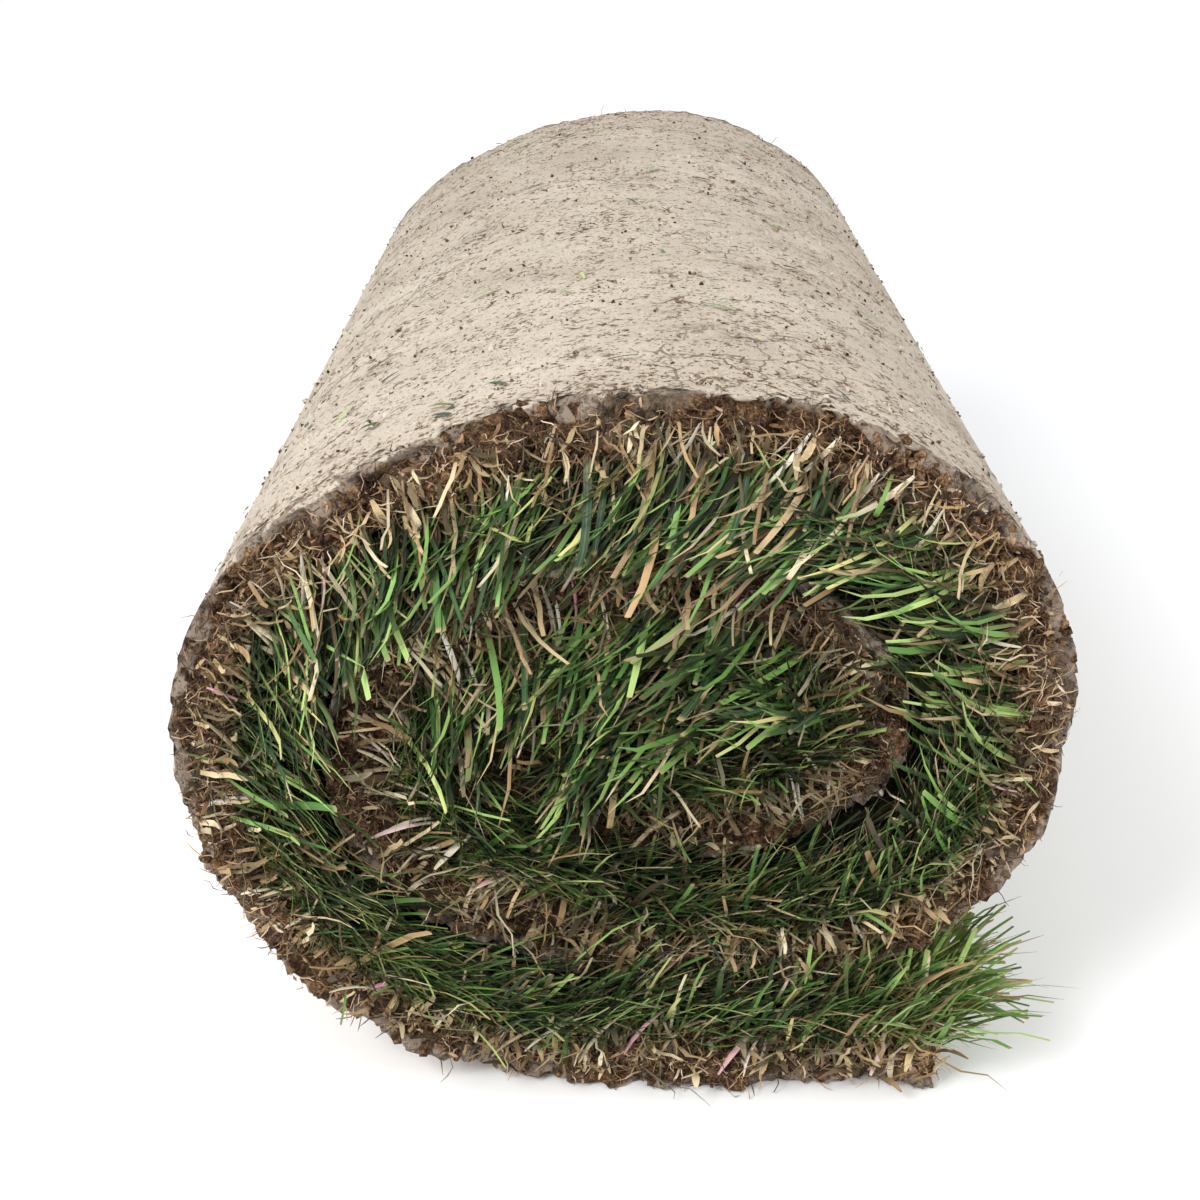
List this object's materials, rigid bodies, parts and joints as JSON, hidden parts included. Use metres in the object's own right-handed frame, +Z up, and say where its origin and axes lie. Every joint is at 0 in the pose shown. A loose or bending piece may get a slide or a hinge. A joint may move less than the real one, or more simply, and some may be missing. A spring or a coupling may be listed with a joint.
{
  "type": "roll of turf",
  "caption": "Rolled strip of cut turf, soil side out and grass side in, with its outer end lying flat as a tail.",
  "frame": {"origin": "on the ground, under the middle of the roll's box", "axes": "+Z up; +Y along the roll's axis; the flat tail ends on the +X side"},
  "size_m": [0.2817, 0.61, 0.2381],
  "materials": {
    "soil_and_roots": "dry, matt clay soil bound by fine roots, pale and pitted on the sliced face, dark and crumbly on the cut ends",
    "grass": "fresh mown lawn grass with straw-coloured stems and dry blades among the green"
  },
  "bodies": {
    "root": {"root_mat": "soil_and_roots", "grass_sward": "grass"}
  },
  "joints": []
}
